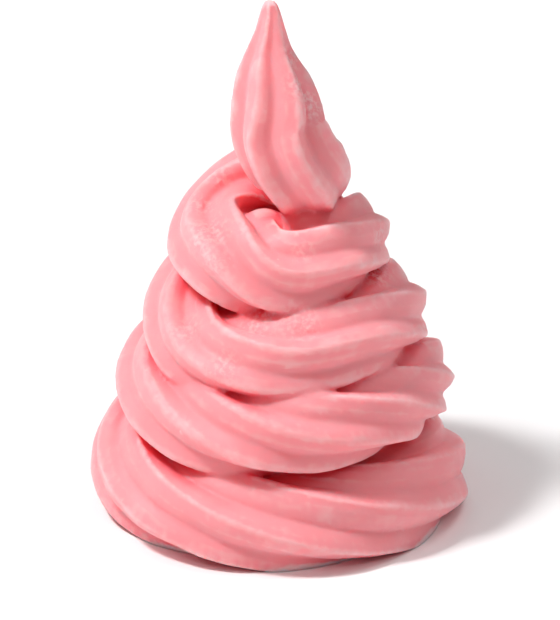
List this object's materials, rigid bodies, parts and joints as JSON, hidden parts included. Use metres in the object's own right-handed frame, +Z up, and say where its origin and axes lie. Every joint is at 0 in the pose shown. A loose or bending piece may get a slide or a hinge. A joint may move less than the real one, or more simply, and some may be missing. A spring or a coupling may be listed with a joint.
{
  "type": "frozen yogurt swirl",
  "caption": "Tall soft-serve swirl of pink frozen yogurt: a ribbed rope piped in shrinking laps, folded over and pulled up into a curved pointed peak, on a flat base.",
  "frame": {"origin": "centre of the bounding box, on the flat underside", "axes": "+Z up through the peak; -Y is the side the picture shows, with the folded peak's ribs and the small hollow under it; +X to the right of that side"},
  "size_m": [0.0964, 0.0948, 0.1312],
  "materials": {
    "yogurt": "soft satin frozen yogurt, strawberry pink, light passes a few millimetres into it; grainy icy patches on the outer face of some ribs"
  },
  "bodies": {
    "root": {"frozen_yogurt_swirl": "yogurt"}
  },
  "joints": []
}
